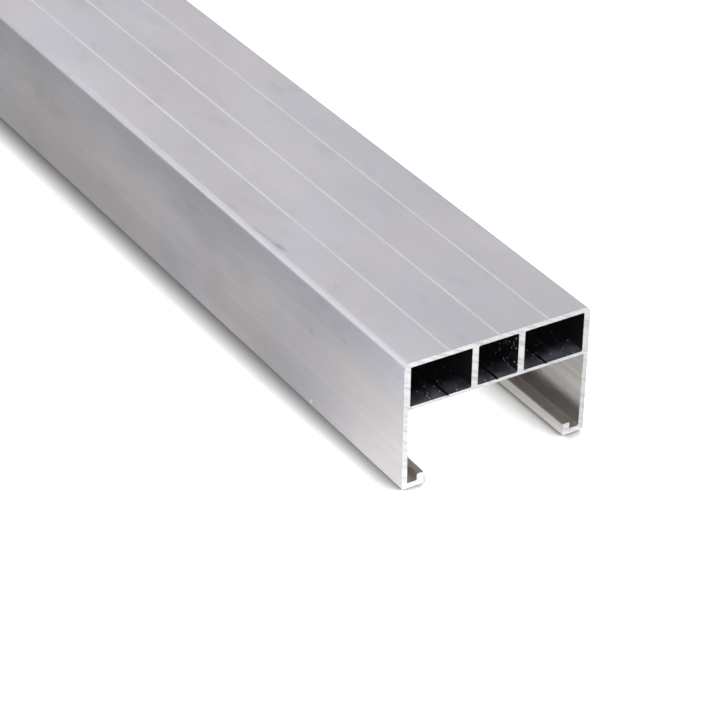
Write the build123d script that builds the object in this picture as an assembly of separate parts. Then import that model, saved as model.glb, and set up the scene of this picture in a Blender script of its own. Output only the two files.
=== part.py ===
from build123d import *
import os

# An aluminium extrusion profile: a flat box of three cells with two legs below it. Each leg ends in a hook,
# which is an inward lip with a short upward nib. It is one piece, pressed through one die and sawn off square.
# X runs across the section, Y along the stock and Z up. The origin is at the middle of the length, under the
# middle of the section, on the plane that the two feet stand on. Sizes are in millimetres.

# Overall size
width = 60.0
height = 40.0
length = 1000.0

# Box of three cells
side_wall = 2.0
top_plate = 1.5
cell_height = 12.4
web = 1.0
rib = 2.0
middle_cell = 13.0

# Legs, which grow thicker towards their hooks
leg_wall_at_web = 1.4
leg_wall_at_hook = 1.7
lip_thickness = 1.6
hook_gap = 3.1
nib_thickness = 2.3
nib_height = 2.1

# Fine V lines along the stock: grooves in the top face, and notches in the floors of the cells
line_spacing = 16.0
groove_width = 0.9
groove_depth = 0.3
notch_width = 0.8
notch_depth = 0.4

# Radii that the die leaves on the section's corners
top_corner_radius = 2.0
foot_corner_radius = 0.4
nib_radius = 0.4
cell_radius = 0.4
web_radius = 0.5
hook_radius = 0.3

# Two corners closer than this are the same corner
same_corner = 0.001

# Levels and distances from the centre line that follow from the sizes above
half_width = width / 2
ceiling_level = height - top_plate
floor_level = ceiling_level - cell_height
underside_level = floor_level - web
rib_inner = middle_cell / 2
rib_outer = rib_inner + rib
side_inner = half_width - side_wall
leg_inner_at_web = half_width - leg_wall_at_web
leg_inner = half_width - leg_wall_at_hook
nib_outer = leg_inner - hook_gap
nib_inner = nib_outer - nib_thickness
nib_top = lip_thickness + nib_height


def box_between(left, bottom, right, top):
    """A rectangle from its lower left corner to its upper right one."""
    return Pos((left + right) / 2, (bottom + top) / 2) * Rectangle(right - left, top - bottom)


def corners_at(outline, x, level):
    """The outline's corners at this place and at its mirror image."""
    places = [Vector(x, level), Vector(-x, level)]
    return [c for c in outline.vertices() if min((c.center() - place).length for place in places) < same_corner]


def outer_block():
    """The whole outline as one block, with its upper corners rounded."""
    block = box_between(-half_width, 0, half_width, height)
    return fillet(corners_at(block, half_width, height), top_corner_radius)


def cells():
    """The three cells between the top plate and the web."""
    side = box_between(rib_outer, floor_level, side_inner, ceiling_level)
    side = fillet(side.vertices(), cell_radius)
    middle = box_between(-rib_inner, floor_level, rib_inner, ceiling_level)
    middle = fillet(middle.vertices(), cell_radius)
    return middle + side + mirror(side, Plane.YZ)


def leg_space():
    """The space between the legs: wide above the nibs, with a slot behind each nib and a mouth between them."""
    left_top, right_top = (-leg_inner_at_web, underside_level), (leg_inner_at_web, underside_level)
    left_foot, right_foot = (-leg_inner, lip_thickness), (leg_inner, lip_thickness)
    space = Polygon(left_top, left_foot, right_foot, right_top, align=None)
    nib = box_between(nib_inner, lip_thickness, nib_outer, nib_top)
    mouth = box_between(-nib_inner, -lip_thickness, nib_inner, nib_top)
    space = space - nib - mirror(nib, Plane.YZ) + mouth
    space = fillet(corners_at(space, leg_inner_at_web, underside_level), web_radius)
    slot_floor = corners_at(space, leg_inner, lip_thickness) + corners_at(space, nib_outer, lip_thickness)
    space = fillet(slot_floor, hook_radius)
    nib_corners = corners_at(space, nib_outer, nib_top) + corners_at(space, nib_inner, nib_top)
    return fillet(nib_corners, nib_radius)


def v_line(x, level, opening, depth):
    """A V cut into the face at this level, drawn as a diamond that is centred on the face."""
    left, right = (x - opening / 2, level), (x + opening / 2, level)
    return Polygon(left, (x, level - depth), right, (x, level + depth), align=None)


def fine_lines():
    """The grooves in the top face, each with a notch in the floor of the cell below it."""
    lines = Sketch()
    for x in (-line_spacing, 0, line_spacing):
        lines += v_line(x, height, groove_width, groove_depth)
        lines += v_line(x, floor_level, notch_width, notch_depth)
    return lines


section = outer_block() - cells() - leg_space()
foot_corners = corners_at(section, half_width, 0) + corners_at(section, nib_inner, 0)
section = fillet(foot_corners, foot_corner_radius) - fine_lines()

profile = extrude(Plane.XZ * section, length / 2, both=True)
profile.label = "profile"

os.makedirs("parts", exist_ok=True)
export_step(profile, "parts/profile.step")
print("section", round(section.area, 1), "mm2, volume", round(profile.volume), "mm3")
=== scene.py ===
import math
import random

import bmesh
import bpy
from mathutils import Matrix, Vector


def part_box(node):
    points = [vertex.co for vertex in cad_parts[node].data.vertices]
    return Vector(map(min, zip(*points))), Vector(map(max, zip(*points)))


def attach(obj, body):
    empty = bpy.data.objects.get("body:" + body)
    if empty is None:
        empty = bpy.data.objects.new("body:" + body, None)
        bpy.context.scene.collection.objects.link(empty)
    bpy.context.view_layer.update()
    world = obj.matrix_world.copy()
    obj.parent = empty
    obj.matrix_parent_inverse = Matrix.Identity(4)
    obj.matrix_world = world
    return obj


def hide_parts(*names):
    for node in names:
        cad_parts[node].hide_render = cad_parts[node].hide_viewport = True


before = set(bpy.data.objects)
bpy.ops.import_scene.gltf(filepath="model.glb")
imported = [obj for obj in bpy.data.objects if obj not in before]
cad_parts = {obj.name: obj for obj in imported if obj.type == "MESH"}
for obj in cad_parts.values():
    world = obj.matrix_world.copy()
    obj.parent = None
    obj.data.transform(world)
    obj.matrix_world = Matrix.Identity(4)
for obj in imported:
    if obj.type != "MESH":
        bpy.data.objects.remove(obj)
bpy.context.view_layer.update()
print("frame loaded")

mm = 0.001
lowCorner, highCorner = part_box("profile")
frontEnd, backEnd = lowCorner.y, highCorner.y
leftSide, rightSide, topLevel = lowCorner.x, highCorner.x, highCorner.z

# Camera, where the photograph was taken from
cameraSet = {
    "eye": (-0.3580, frontEnd - 0.5064, 0.4187),
    "looksAt": (-0.0389, frontEnd + 0.0080, 0.0400),
    "rollDegrees": 0.85,
    "lens": 135.5,
    "sensor": 36.0,
}


def makeCamera():
    data = bpy.data.cameras.new("camera")
    data.lens = cameraSet["lens"]
    data.sensor_width = cameraSet["sensor"]
    eye = Vector(cameraSet["eye"])
    forward = Vector(cameraSet["looksAt"]) - eye
    turned = forward.to_track_quat("-Z", "Y").to_matrix().to_4x4()
    roll = Matrix.Rotation(math.radians(cameraSet["rollDegrees"]), 4, "Z")
    obj = bpy.data.objects.new("camera", data)
    obj.matrix_world = Matrix.Translation(eye) @ turned @ roll
    bpy.context.collection.objects.link(obj)
    bpy.context.scene.camera = obj


makeCamera()
print("camera placed")


# Helpers for node trees: a value may be a number, a colour or another node's socket
def setInput(tree, socket, value):
    if isinstance(value, bpy.types.NodeSocket):
        tree.links.new(value, socket)
    else:
        socket.default_value = value


def addNode(tree, kind, inputs=None, **settings):
    node = tree.nodes.new(kind)
    for name, value in settings.items():
        setattr(node, name, value)
    for name, value in (inputs or {}).items():
        setInput(tree, node.inputs[name], value)
    return node


def calc(tree, operation, first, second=0.0, clamp=False):
    node = addNode(tree, "ShaderNodeMath", {0: first, 1: second}, operation=operation, use_clamp=clamp)
    return node.outputs[0]


def spanTo(tree, value, fromMin, fromMax, toMin, toMax, smooth=False):
    inputs = {"Value": value, "From Min": fromMin, "From Max": fromMax, "To Min": toMin, "To Max": toMax}
    kind = "SMOOTHSTEP" if smooth else "LINEAR"
    return addNode(tree, "ShaderNodeMapRange", inputs, interpolation_type=kind).outputs["Result"]


def product(tree, *parts):
    total = parts[0]
    for part in parts[1:]:
        total = calc(tree, "MULTIPLY", total, part)
    return total


# Mixes two colours: the mix node's colour sockets are numbers 6, 7 and 2
def blend(tree, factor, first, second):
    return addNode(tree, "ShaderNodeMix", {0: factor, 6: first, 7: second}, data_type="RGBA").outputs[2]


def times(tree, vector, scale):
    return addNode(tree, "ShaderNodeVectorMath", {0: vector, 1: scale}, operation="MULTIPLY").outputs[0]


def shaded(tree, colour, level):
    return addNode(tree, "ShaderNodeVectorMath", {0: colour, "Scale": level}, operation="SCALE").outputs[0]


def noise(tree, vector, scale, detail=2.0, roughness=0.5):
    inputs = {"Vector": vector, "Scale": scale, "Detail": detail, "Roughness": roughness}
    return addNode(tree, "ShaderNodeTexNoise", inputs).outputs["Fac"]


def newGroup(name, inputs, outputs):
    tree = bpy.data.node_groups.new(name, "ShaderNodeTree")
    for socketName, kind, value in inputs:
        socket = tree.interface.new_socket(socketName, in_out="INPUT", socket_type="NodeSocket" + kind)
        if value is not None:
            socket.default_value = value
    for socketName, kind in outputs:
        tree.interface.new_socket(socketName, in_out="OUTPUT", socket_type="NodeSocket" + kind)
    return tree, addNode(tree, "NodeGroupInput").outputs, addNode(tree, "NodeGroupOutput").inputs


def placeGroup(tree, group, inputs):
    node = tree.nodes.new("ShaderNodeGroup")
    node.node_tree = group
    for name, value in inputs.items():
        setInput(tree, node.inputs[name], value)
    return node.outputs


def newMaterial(name):
    material = bpy.data.materials.new(name)
    material.use_nodes = True
    tree = material.node_tree
    place = addNode(tree, "ShaderNodeTexCoord").outputs["Object"]
    return material, tree, tree.nodes["Principled BSDF"], place


# Die lines: the streaks that the die draws along the stock, fine ones and broad ones
dieLineSet = {"linesPerMetre": 2500.0, "length": 0.12, "fineDetail": 2.0, "broadScale": 0.22,
              "broadDetail": 3.0, "roughness": 0.6}


def makeDieLines():
    values = dieLineSet
    tree, given, result = newGroup(
        "die lines",
        [("Vector", "Vector", None), ("Lines per metre", "Float", values["linesPerMetre"]),
         ("Length", "Float", values["length"])],
        [("Fine", "Float"), ("Broad", "Float")])
    across = given["Lines per metre"]
    along = calc(tree, "DIVIDE", 1.0, given["Length"])
    scale = addNode(tree, "ShaderNodeCombineXYZ", {"X": across, "Y": along, "Z": across}).outputs[0]
    drawn = times(tree, given["Vector"], scale)
    fine = noise(tree, drawn, 1.0, values["fineDetail"], values["roughness"])
    broad = noise(tree, drawn, values["broadScale"], values["broadDetail"], values["roughness"])
    setInput(tree, result["Fine"], fine)
    setInput(tree, result["Broad"], broad)
    return tree


# Clouds: the soft, uneven sheen of metal that was never brushed or coated
cloudSet = {"cloudsPerMetre": 34.0, "stretch": (1.0, 0.5, 1.0), "detail": 4.0, "roughness": 0.55,
            "tintScale": 0.6, "smudgeScale": 3.5, "cloudRange": (0.3, 0.7), "tintRange": (0.35, 0.65),
            "smudgeRange": (0.60, 0.72)}


def makeClouds():
    values = cloudSet
    tree, given, result = newGroup(
        "clouds",
        [("Vector", "Vector", None), ("Clouds per metre", "Float", values["cloudsPerMetre"]),
         ("Offset", "Float", 0.0)],
        [("Cloud", "Float"), ("Tint", "Float"), ("Smudge", "Float")])
    perMetre = given["Clouds per metre"]
    offset = addNode(tree, "ShaderNodeCombineXYZ", {"X": given["Offset"], "Y": given["Offset"]}).outputs[0]
    inputs = {0: given["Vector"], 1: offset}
    moved = addNode(tree, "ShaderNodeVectorMath", inputs, operation="ADD").outputs[0]
    drawn = times(tree, moved, values["stretch"])
    cloud = noise(tree, drawn, perMetre, values["detail"], values["roughness"])
    tint = noise(tree, moved, calc(tree, "MULTIPLY", perMetre, values["tintScale"]))
    smudge = noise(tree, drawn, calc(tree, "MULTIPLY", perMetre, values["smudgeScale"]))
    setInput(tree, result["Cloud"], spanTo(tree, cloud, *values["cloudRange"], 0.0, 1.0))
    setInput(tree, result["Tint"], spanTo(tree, tint, *values["tintRange"], 0.0, 1.0))
    setInput(tree, result["Smudge"], spanTo(tree, smudge, *values["smudgeRange"], 0.0, 1.0))
    return tree


# Scuff and shade: one mark, ragged inside, at its own place and turned its own way; it draws rubbed scuffs
# and also patches of painted shade
scuffAndShadeSet = {"fullInside": 0.2, "raggedPerMetre": 900.0, "detail": 3.0, "roughness": 0.6,
            "raggedRange": (0.35, 0.6), "raggedLeast": 0.5}


def makeScuffAndShade():
    values = scuffAndShadeSet
    tree, given, result = newGroup(
        "scuffAndShade",
        [("Vector", "Vector", None), ("Centre", "Vector", None), ("Turn", "Vector", None),
         ("Half size", "Vector", (0.01, 0.01, 0.01))],
        [("Mask", "Float")])
    inputs = {"Vector": given["Vector"], "Location": given["Centre"], "Rotation": given["Turn"],
              "Scale": given["Half size"]}
    local = addNode(tree, "ShaderNodeMapping", inputs, vector_type="TEXTURE").outputs[0]
    reach = addNode(tree, "ShaderNodeVectorMath", {0: local}, operation="LENGTH").outputs["Value"]
    inside = spanTo(tree, reach, 1.0, values["fullInside"], 0.0, 1.0, smooth=True)
    patches = noise(tree, given["Vector"], values["raggedPerMetre"], values["detail"], values["roughness"])
    ragged = spanTo(tree, patches, *values["raggedRange"], values["raggedLeast"], 1.0)
    setInput(tree, result["Mask"], calc(tree, "MULTIPLY", inside, ragged))
    return tree


dieLines, clouds, scuffAndShade = makeDieLines(), makeClouds(), makeScuffAndShade()

# Mill sheen: the clouds, die lines and hairlines of bare pressed metal, on its top and down its sides, with
# a painted shade on the side just below the crease.
# The crease is the rounded upper edge, and the side turns from cool to warm below it.
sheenSet = {"topAbove": topLevel - 0.5 * mm, "sideBelow": topLevel - 1.5 * mm, "coolAbove": 37.0 * mm,
            "warmBelow": 24.0 * mm, "leastWarm": 0.35, "streakRange": (0.65, 0.35),
            "hairStretch": (1.0, 0.035, 1.0), "hairDetail": 2.0, "hairRoughness": 0.6,
            "hairRange": (0.38, 0.62)}


def makeMillSheen():
    values = sheenSet
    tree, given, result = newGroup(
        "mill sheen",
        [("Vector", "Vector", None), ("Offset", "Float", 0.0), ("Marks", "Float", 0.0),
         ("Top cool", "Color", None), ("Top warm", "Color", None),
         ("Side cool", "Color", None), ("Side warm", "Color", None),
         ("Shade", "Float", 0.1), ("Smudge", "Float", 0.05),
         ("Top streaks", "Float", 0.05), ("Side streaks", "Float", 0.05),
         ("Top hairs", "Float", 0.05), ("Side hairs", "Float", 0.05),
         ("Hairs per metre", "Float", 900.0), ("Hair turn", "Vector", None),
         ("Painted shade below crease", "Float", 0.0), ("Rough", "Float", 0.36), ("Rough spread", "Float", 0.1)],
        [("Colour", "Color"), ("Roughness", "Float"), ("Height", "Float")])
    place = given["Vector"]
    level = addNode(tree, "ShaderNodeSeparateXYZ", {0: place}).outputs["Z"]
    onSide = spanTo(tree, level, values["topAbove"], values["sideBelow"], 0.0, 1.0)
    low = spanTo(tree, level, values["coolAbove"], values["warmBelow"], 0.0, 1.0, smooth=True)
    lines = placeGroup(tree, dieLines, {"Vector": place})
    cloud = placeGroup(tree, clouds, {"Vector": place, "Offset": given["Offset"]})

    topColour = blend(tree, cloud["Tint"], given["Top cool"], given["Top warm"])
    warmth = calc(tree, "MULTIPLY", low, spanTo(tree, cloud["Tint"], 0.0, 1.0, values["leastWarm"], 1.0))
    sideColour = blend(tree, warmth, given["Side cool"], given["Side warm"])
    tinted = blend(tree, onSide, topColour, sideColour)

    clouded = calc(tree, "MULTIPLY", calc(tree, "SUBTRACT", 1.0, cloud["Cloud"]), given["Shade"])
    smudged = calc(tree, "MULTIPLY", cloud["Smudge"], given["Smudge"])
    streakDepth = spanTo(tree, onSide, 0.0, 1.0, given["Top streaks"], given["Side streaks"])
    streak = spanTo(tree, lines["Broad"], *values["streakRange"], 0.0, 1.0)
    streaked = calc(tree, "MULTIPLY", streak, streakDepth)
    turned = addNode(tree, "ShaderNodeMapping", {"Vector": place, "Rotation": given["Hair turn"]}).outputs[0]
    drawn = times(tree, turned, values["hairStretch"])
    hairs = noise(tree, drawn, given["Hairs per metre"], values["hairDetail"], values["hairRoughness"])
    hairDepth = spanTo(tree, onSide, 0.0, 1.0, given["Top hairs"], given["Side hairs"])
    haired = calc(tree, "MULTIPLY", spanTo(tree, hairs, *values["hairRange"], 0.0, 1.0), hairDepth)
    # Painted shade: the side is darker in a band just below the crease
    beside = calc(tree, "MULTIPLY", calc(tree, "SUBTRACT", onSide, low, clamp=True), given["Painted shade below crease"])

    darker = 0.0
    for part in (clouded, smudged, streaked, haired, beside):
        darker = calc(tree, "ADD", part, darker)
    lighter = calc(tree, "ADD", given["Marks"], 1.0)
    setInput(tree, result["Colour"], shaded(tree, tinted, calc(tree, "SUBTRACT", lighter, darker)))
    roughest = calc(tree, "ADD", given["Rough"], given["Rough spread"])
    setInput(tree, result["Roughness"], spanTo(tree, cloud["Cloud"], 0.0, 1.0, given["Rough"], roughest))
    setInput(tree, result["Height"], lines["Fine"])
    return tree


millSheen = makeMillSheen()
print("shared finishes ready")

# Finishes of the pressed faces: each key is the name of a mill sheen input. The outer faces are as the press
# left them; the inner faces are paler as painted light, and the left flanks of the grooves paler as a
# painted highlight.
millFinishes = {
    "outer_face": {"Top cool": (0.535, 0.532, 0.58, 1), "Top warm": (0.555, 0.527, 0.552, 1),
                   "Side cool": (0.53, 0.535, 0.585, 1), "Side warm": (0.59, 0.56, 0.565, 1),
                   "Shade": 0.11, "Smudge": 0.06, "Top streaks": 0.02, "Side streaks": 0.045,
                   "Top hairs": 0.014, "Side hairs": 0.035, "Hairs per metre": 1500.0,
                   "Hair turn": (0.12, 0.0, 0.04), "Painted shade below crease": 0.06,
                   "Rough": 0.36, "Rough spread": 0.10},
    # Painted light: the inner faces are the same metal as the outer faces, made much paler to stand in for
    # light between the legs
    "inner_face_painted_light": {"Side cool": (0.87, 0.85, 0.83, 1), "Side warm": (0.91, 0.86, 0.82, 1), "Offset": 3.0,
                   "Shade": 0.10, "Smudge": 0.04, "Side streaks": 0.20, "Side hairs": 0.06,
                   "Rough": 0.24, "Rough spread": 0.08},
    # Painted highlight: the left flank of each groove is paler than the top around it
    "groove_painted_highlight": {"Top cool": (0.79, 0.79, 0.84, 1), "Top warm": (0.79, 0.78, 0.82, 1), "Offset": 5.0,
                    "Shade": 0.10, "Rough": 0.38, "Rough spread": 0.10},
}
# Bump distance of the die lines on each of these finishes
lineDepths = {"outer_face": 0.006 * mm, "inner_face_painted_light": 0.02 * mm, "groove_painted_highlight": 0.004 * mm}

# Marks on the outer faces, scuffs and darker or lighter patches, with two patches of painted shade low on
# the side: place from the front end and half size in millimetres, turn in degrees, and how much darker or
# lighter
scuffsAndShades = [
    {"at": (-27.6, 78.0, 40.0), "half": (1.3, 13.0, 1.5), "turn": 6.0, "shade": -0.14},
    {"at": (-27.2, 70.5, 40.0), "half": (0.8, 5.0, 1.5), "turn": 8.0, "shade": -0.26},
    {"at": (-27.0, 98.0, 40.0), "half": (0.9, 5.0, 1.5), "turn": 4.0, "shade": -0.10},
    {"at": (14.0, 79.0, 40.0), "half": (7.0, 16.0, 1.0), "turn": -20.0, "shade": -0.05},
    {"at": (-20.0, 52.0, 40.0), "half": (0.6, 1.6, 1.0), "turn": 40.0, "shade": 0.14},
    {"at": (-25.0, 46.0, 40.0), "half": (0.7, 1.0, 1.0), "turn": -30.0, "shade": 0.14},
    {"at": (-30.0, 48.0, 25.0), "half": (1.0, 1.8, 1.6), "turn": 0.0, "shade": -0.14},
    {"at": (-30.0, 31.0, 31.0), "half": (1.0, 2.6, 1.4), "turn": 0.0, "shade": -0.10},
    {"at": (-30.0, 88.0, 24.0), "half": (3.0, 14.0, 6.0), "turn": 0.0, "shade": -0.08},
    {"at": (-30.0, 110.0, 26.0), "half": (3.0, 16.0, 8.0), "turn": 0.0, "shade": -0.08},
    {"at": (-30.0, 104.0, 8.0), "half": (3.0, 12.0, 9.0), "turn": 0.0, "shade": -0.07},
    # Painted shade: these two long patches darken the lower part of the side
    {"at": (-30.0, 66.0, 4.0), "half": (2.0, 46.0, 12.0), "turn": 0.0, "shade": -0.10},
    {"at": (-30.0, 190.0, 4.0), "half": (2.0, 80.0, 14.0), "turn": 0.0, "shade": -0.12},
    {"at": (-30.0, 48.3, 1.6), "half": (1.0, 1.0, 0.9), "turn": 0.0, "shade": 0.60},
]


def addScuffsAndShades(tree, place):
    total = 0.0
    for mark in scuffsAndShades:
        x, y, z = mark["at"]
        inputs = {"Vector": place, "Centre": (x * mm, frontEnd + y * mm, z * mm),
                  "Turn": (0.0, 0.0, math.radians(mark["turn"])),
                  "Half size": [size * mm for size in mark["half"]]}
        mask = placeGroup(tree, scuffAndShade, inputs)["Mask"]
        total = calc(tree, "ADD", calc(tree, "MULTIPLY", mask, mark["shade"]), total)
    return total


def makeMillFinish(name):
    material, tree, surface, place = newMaterial(name)
    marks = addScuffsAndShades(tree, place) if name == "outer_face" else 0.0
    sheen = placeGroup(tree, millSheen, {"Vector": place, "Marks": marks, **millFinishes[name]})
    bump = addNode(tree, "ShaderNodeBump", {"Height": sheen["Height"], "Distance": lineDepths[name]})
    setInput(tree, surface.inputs["Base Color"], sheen["Colour"])
    setInput(tree, surface.inputs["Roughness"], sheen["Roughness"])
    setInput(tree, surface.inputs["Normal"], bump.outputs[0])
    surface.inputs["Metallic"].default_value = 1.0
    return material


# Inside of the cells: near black as painted shade, with dull dust on the floor and a few pale chips, both
# near the cuts
cellFinish = {"paintedCellShade": (0.10, 0.105, 0.125), "streakRange": (0.35, 0.65), "streakLeast": 0.6,
              "metal": 1.0, "rough": 0.36, "looseMetal": 0.1, "looseRough": 0.7,
              "floor": 26.1 * mm, "floorEdge": 0.6 * mm, "dust": (0.10, 0.105, 0.125, 1),
              "dustReach": 8.0 * mm, "patchesPerMetre": 220.0, "patchDetail": 4.0, "patchRoughness": 0.6,
              "patchRange": (0.35, 0.65), "patchLeast": 0.3, "chip": (0.8, 0.8, 0.8, 1),
              "chipReach": 24.0 * mm, "chipsPerMetre": 900.0, "chipSize": 0.15, "chipLimit": 0.62}


def makeCellFinish(name):
    values = cellFinish
    material, tree, surface, place = newMaterial(name)
    parts = addNode(tree, "ShaderNodeSeparateXYZ", {0: place}).outputs
    fromEnd = calc(tree, "SUBTRACT", backEnd, calc(tree, "ABSOLUTE", parts["Y"]))
    lines = placeGroup(tree, dieLines, {"Vector": place})

    onFloor = spanTo(tree, parts["Z"], values["floor"] + values["floorEdge"], values["floor"], 0.0, 1.0)
    near = spanTo(tree, fromEnd, 0.0, values["dustReach"], 1.0, 0.0, smooth=True)
    patches = noise(tree, place, values["patchesPerMetre"], values["patchDetail"], values["patchRoughness"])
    patchy = spanTo(tree, patches, *values["patchRange"], values["patchLeast"], 1.0)
    dust = product(tree, onFloor, near, patchy)

    grid = addNode(tree, "ShaderNodeTexVoronoi", {"Vector": place, "Scale": values["chipsPerMetre"]}).outputs
    small = calc(tree, "LESS_THAN", grid["Distance"], values["chipSize"])
    chance = addNode(tree, "ShaderNodeSeparateColor", {0: grid["Color"]}).outputs[0]
    kept = calc(tree, "GREATER_THAN", chance, values["chipLimit"])
    chipNear = spanTo(tree, fromEnd, 0.0, values["chipReach"], 1.0, 0.0)
    chip = product(tree, small, kept, chipNear)

    streaked = spanTo(tree, lines["Broad"], *values["streakRange"], values["streakLeast"], 1.0)
    # Painted shade: the walls of the cells are near black
    paintedCellShade = shaded(tree, values["paintedCellShade"], streaked)
    colour = blend(tree, chip, blend(tree, dust, paintedCellShade, values["dust"]), values["chip"])
    setInput(tree, surface.inputs["Base Color"], colour)
    loose = calc(tree, "MAXIMUM", dust, chip)
    metal = spanTo(tree, loose, 0.0, 1.0, values["metal"], values["looseMetal"])
    setInput(tree, surface.inputs["Metallic"], metal)
    rough = spanTo(tree, loose, 0.0, 1.0, values["rough"], values["looseRough"])
    setInput(tree, surface.inputs["Roughness"], rough)
    return material


# Notch lines in the cells' floors: dark, because no light reaches into them
notchFinish = {"edge": (0.03, 0.03, 0.035, 1), "deep": (0.008, 0.008, 0.01, 1), "metal": 1.0,
               "lineRange": (0.3, 0.7), "leastRough": 0.5, "mostRough": 0.6}


def makeNotchFinish(name):
    values = notchFinish
    material, tree, surface, place = newMaterial(name)
    lines = placeGroup(tree, dieLines, {"Vector": place})
    colour = blend(tree, lines["Broad"], values["deep"], values["edge"])
    setInput(tree, surface.inputs["Base Color"], colour)
    rough = spanTo(tree, lines["Fine"], *values["lineRange"], values["leastRough"], values["mostRough"])
    setInput(tree, surface.inputs["Roughness"], rough)
    surface.inputs["Metallic"].default_value = values["metal"]
    return material


# Sawn ends: bright and grainy, with the blade's marks slanting across them
sawnEnd = {"bright": (0.66, 0.66, 0.66, 1), "dull": (0.42, 0.42, 0.43, 1), "brightRange": (0.12, 0.28),
           "grainPerMetre": 2600.0, "grainDetail": 3.0, "grainRoughness": 0.6, "grainRange": (0.3, 0.7),
           "marksPerMetre": 900.0, "markDegrees": 62.0, "markStretch": (1.0, 1.0, 0.06),
           "metal": 1.0, "mostRough": 0.52, "leastRough": 0.42, "depth": 0.04 * mm}


def makeSawnEnd(name):
    values = sawnEnd
    material, tree, surface, place = newMaterial(name)
    turn = (0.0, math.radians(values["markDegrees"]), 0.0)
    turned = addNode(tree, "ShaderNodeMapping", {"Vector": place, "Rotation": turn}).outputs[0]
    grain = noise(tree, place, values["grainPerMetre"], values["grainDetail"], values["grainRoughness"])
    marks = noise(tree, times(tree, turned, values["markStretch"]), values["marksPerMetre"])
    cut = calc(tree, "MULTIPLY", grain, marks)
    factor = spanTo(tree, cut, *values["brightRange"], 0.0, 1.0)
    setInput(tree, surface.inputs["Base Color"], blend(tree, factor, values["dull"], values["bright"]))
    rough = spanTo(tree, grain, *values["grainRange"], values["mostRough"], values["leastRough"])
    setInput(tree, surface.inputs["Roughness"], rough)
    bump = addNode(tree, "ShaderNodeBump", {"Height": cut, "Distance": values["depth"]})
    setInput(tree, surface.inputs["Normal"], bump.outputs[0])
    surface.inputs["Metallic"].default_value = values["metal"]
    return material


# The profile: the pressed section as it was drawn, with its sawn edges broken and a little ragged
profileSet = {"weld": 0.001 * mm, "flatDegrees": 0.5, "sharpDegrees": 32.0, "edgeBreak": 0.09 * mm,
              "edgeStep": 0.55 * mm, "edgeRagged": 0.22 * mm, "raggedPower": 3, "rimNear": 0.02 * mm,
              "seed": 7, "shadingWeight": 100}

# How a face's direction and place in the section tell which finish it takes
faceSet = {"endFrom": 0.9, "slantFrom": 0.3, "slantTo": 0.9, "linesReach": 17.0 * mm,
           "grooveAbove": topLevel - 0.4 * mm, "notchBelow": 26.1 * mm, "cellFloor": 25.5 * mm,
           "cellCeiling": 38.6 * mm, "cellSide": 28.05 * mm, "legSpaceTop": 25.2 * mm,
           "legSpaceSide": 28.65 * mm, "footAbove": 0.01 * mm}
finishMakers = {"outer_face": makeMillFinish, "inner_face_painted_light": makeMillFinish, "groove_painted_highlight": makeMillFinish,
                "cell_wall": makeCellFinish, "notch_line": makeNotchFinish, "sawn_end": makeSawnEnd}
finishNames = list(finishMakers)


def isSawn(face):
    return abs(face.normal.y) > faceSet["endFrom"]


def finishOf(face):
    values = faceSet
    centre, lean = face.calc_center_median(), face.normal.x
    side, level = abs(centre.x), centre.z
    inLine = values["slantFrom"] < abs(lean) < values["slantTo"] and side < values["linesReach"]
    if isSawn(face):
        return "sawn_end"
    if inLine and lean < 0 and level > values["grooveAbove"]:
        # Painted highlight: the left facing flank of each groove takes the paler finish
        return "groove_painted_highlight"  # only the flank of each groove that faces left
    if inLine and values["legSpaceTop"] < level < values["notchBelow"]:
        return "notch_line"
    if values["cellFloor"] < level < values["cellCeiling"] and side < values["cellSide"]:
        return "cell_wall"
    if values["footAbove"] < level < values["legSpaceTop"] and side < values["legSpaceSide"]:
        return "inner_face_painted_light"
    return "outer_face"


def sawnRim(bm):
    shared = [edge for edge in bm.edges if len(edge.link_faces) == 2]
    return [edge for edge in shared if isSawn(edge.link_faces[0]) != isSawn(edge.link_faces[1])]


# Breaks the edges of both sawn ends, and draws the break's inner line unevenly along the stock
def breakSawnEdges(bm):
    values = profileSet
    random.seed(values["seed"])
    for edge in sawnRim(bm):
        cuts = int(edge.calc_length() / values["edgeStep"])
        if cuts:
            bmesh.ops.subdivide_edges(bm, edges=[edge], cuts=cuts)
    bmesh.ops.bevel(bm, geom=sawnRim(bm), offset=values["edgeBreak"], offset_type="OFFSET", segments=1,
                    profile=0.5, affect="EDGES", clamp_overlap=True, material=-1)
    for vert in bm.verts:
        fromRim = abs(abs(vert.co.y) - (backEnd - values["edgeBreak"]))
        if fromRim < values["rimNear"]:
            step = random.random() ** values["raggedPower"] * values["edgeRagged"]
            vert.co.y -= math.copysign(step, vert.co.y)


def makeProfile():
    bm = bmesh.new()
    bm.from_mesh(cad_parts["profile"].data)
    bmesh.ops.remove_doubles(bm, verts=bm.verts, dist=profileSet["weld"])
    flat = math.radians(profileSet["flatDegrees"])
    bmesh.ops.dissolve_limit(bm, angle_limit=flat, verts=bm.verts, edges=bm.edges)
    bm.normal_update()
    breakSawnEdges(bm)
    bm.normal_update()
    for face in bm.faces:
        face.smooth = True
        face.material_index = finishNames.index(finishOf(face))
    print("profile faces", len(bm.faces))
    mesh = bpy.data.meshes.new("extruded_profile")
    bm.to_mesh(mesh)
    bm.free()
    mesh.set_sharp_from_angle(angle=math.radians(profileSet["sharpDegrees"]))
    for name in finishNames:
        mesh.materials.append(finishMakers[name](name))
    obj = bpy.data.objects.new("extruded_profile", mesh)
    bpy.context.collection.objects.link(obj)
    # Keeps the flat faces flat beside the roundings
    even = obj.modifiers.new("even shading", "WEIGHTED_NORMAL")
    even.keep_sharp = True
    even.weight = profileSet["shadingWeight"]
    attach(obj, "root")
    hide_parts("profile")


makeProfile()
print("profile finished")

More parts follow.
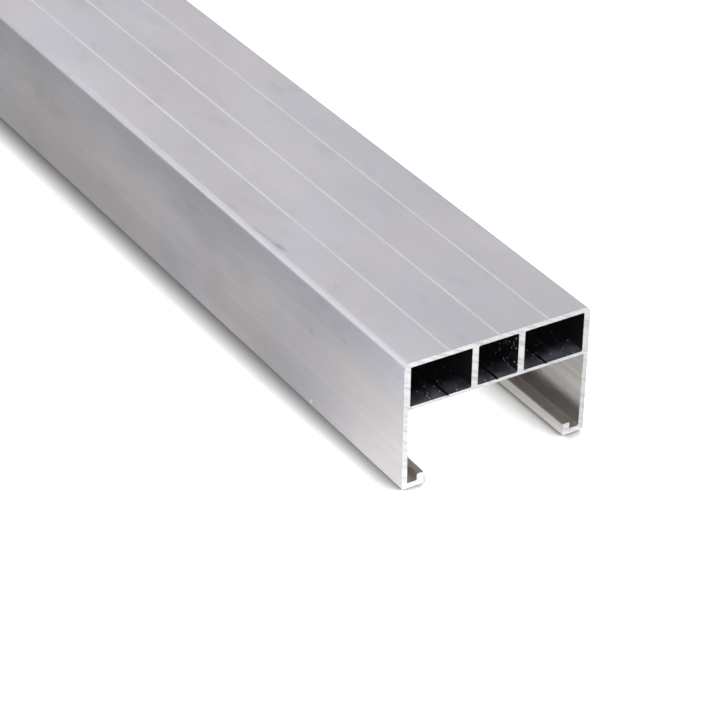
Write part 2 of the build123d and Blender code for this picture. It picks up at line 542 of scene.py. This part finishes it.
# Floor: the object mirrors it as it is, pale and matt, and the camera sees it lifted to white. The camera
# also sees a deeper soft shade beside the left side and under the right half of the object.
floorSet = {"size": 8.0, "colour": 0.82, "seenGain": 1.4, "seenGlow": 0.57, "contactDepth": 3.0,
            "reachBeside": 12.0 * mm, "reachUnder": 22.0 * mm, "shadeSamples": 16,
            "besideFull": 5.0 * mm, "besideEnd": 13.0 * mm, "underFull": 0.8, "rightMargin": 2.0 * mm}


def makeFloor():
    values = floorSet
    bm = bmesh.new()
    bmesh.ops.create_grid(bm, x_segments=1, y_segments=1, size=values["size"] / 2)
    mesh = bpy.data.meshes.new("floor")
    bm.to_mesh(mesh)
    bm.free()
    material, tree, surface, place = newMaterial("floor")
    tree.nodes.remove(surface)
    seen = addNode(tree, "ShaderNodeLightPath").outputs["Is Camera Ray"]
    across = addNode(tree, "ShaderNodeSeparateXYZ", {0: place}).outputs["X"]

    reach = spanTo(tree, across, leftSide, 0.0, values["reachBeside"], values["reachUnder"])
    samples = values["shadeSamples"]
    touch = addNode(tree, "ShaderNodeAmbientOcclusion", {"Distance": reach}, samples=samples).outputs["AO"]
    besideFull, besideEnd = leftSide + values["besideFull"], leftSide + values["besideEnd"]
    beside = spanTo(tree, across, besideFull, besideEnd, 1.0, 0.0)
    under = spanTo(tree, across, 0.0, rightSide * values["underFull"], 0.0, 1.0)
    beyond = spanTo(tree, across, rightSide - values["rightMargin"], rightSide, 1.0, 0.0)
    where = calc(tree, "MAXIMUM", beside, calc(tree, "MULTIPLY", under, beyond))
    shade = calc(tree, "POWER", touch, product(tree, seen, where, values["contactDepth"]))

    gain = spanTo(tree, seen, 0.0, 1.0, 1.0, values["seenGain"])
    shown = product(tree, gain, values["colour"], shade)
    colour = addNode(tree, "ShaderNodeCombineXYZ", {"X": shown, "Y": shown, "Z": shown}).outputs[0]
    matt = addNode(tree, "ShaderNodeBsdfDiffuse", {"Color": colour}).outputs[0]
    strength = product(tree, seen, shade, values["seenGlow"])
    glow = addNode(tree, "ShaderNodeEmission", {"Strength": strength}).outputs[0]
    lifted = addNode(tree, "ShaderNodeAddShader", {0: matt, 1: glow}).outputs[0]
    tree.links.new(lifted, tree.nodes["Material Output"].inputs["Surface"])
    mesh.materials.append(material)
    obj = bpy.data.objects.new("floor", mesh)
    bpy.context.collection.objects.link(obj)


# Room: an even grey light, and a white background to the camera, in reflections and through glass
roomSet = {"background": 1.0, "room": 0.38}


def makeRoom():
    world = bpy.data.worlds.new("room")
    bpy.context.scene.world = world
    world.use_nodes = True
    tree = world.node_tree
    path = addNode(tree, "ShaderNodeLightPath").outputs
    shown = calc(tree, "MAXIMUM", path["Is Camera Ray"], path["Is Glossy Ray"])
    shown = calc(tree, "MAXIMUM", shown, path["Is Transmission Ray"])
    strength = spanTo(tree, shown, 0.0, 1.0, roomSet["room"], roomSet["background"])
    setInput(tree, tree.nodes["Background"].inputs["Strength"], strength)
    tree.nodes["Background"].inputs["Color"].default_value = (1, 1, 1, 1)


# Soft boxes: the front box lights the sawn end, the back and low boxes light the crease, and the left and
# near boxes brighten the floor beside the cut, which the left side mirrors
softBoxes = {
    "front_box": {"place": (-0.15, frontEnd - 0.80, 0.19), "aim": (0.0, frontEnd, 0.01),
                  "size": (0.60, 0.25), "watts": 14.0},
    "left_box": {"place": (-0.17, frontEnd - 0.03, 0.17), "aim": (-0.06, frontEnd + 0.02, 0.0),
                 "size": (0.12, 0.12), "watts": 0.03},
    "near_box": {"place": (-0.070, frontEnd - 0.014, 0.044), "aim": (-0.034, frontEnd + 0.008, 0.0),
                 "size": (0.03, 0.03), "watts": 0.030},
    "back_box": {"place": (-0.136, frontEnd + 0.257, 0.218), "aim": (-0.03, frontEnd, 0.04),
                 "size": (0.42, 0.15), "watts": 0.08},
    "low_box": {"place": (-0.278, frontEnd + 0.288, 0.128), "aim": (-0.03, frontEnd, 0.04),
                "size": (0.30, 0.14), "watts": 0.09},
}


def makeSoftBox(name):
    values = softBoxes[name]
    data = bpy.data.lights.new(name, "AREA")
    data.shape = "RECTANGLE"
    data.size, data.size_y = values["size"]
    data.energy = values["watts"]
    place = Vector(values["place"])
    turned = (Vector(values["aim"]) - place).to_track_quat("-Z", "Y").to_matrix().to_4x4()
    obj = bpy.data.objects.new(name, data)
    obj.matrix_world = Matrix.Translation(place) @ turned
    bpy.context.collection.objects.link(obj)


makeFloor()
makeRoom()
for name in softBoxes:
    makeSoftBox(name)
bpy.context.scene.view_settings.view_transform = "Standard"
print("studio lit")
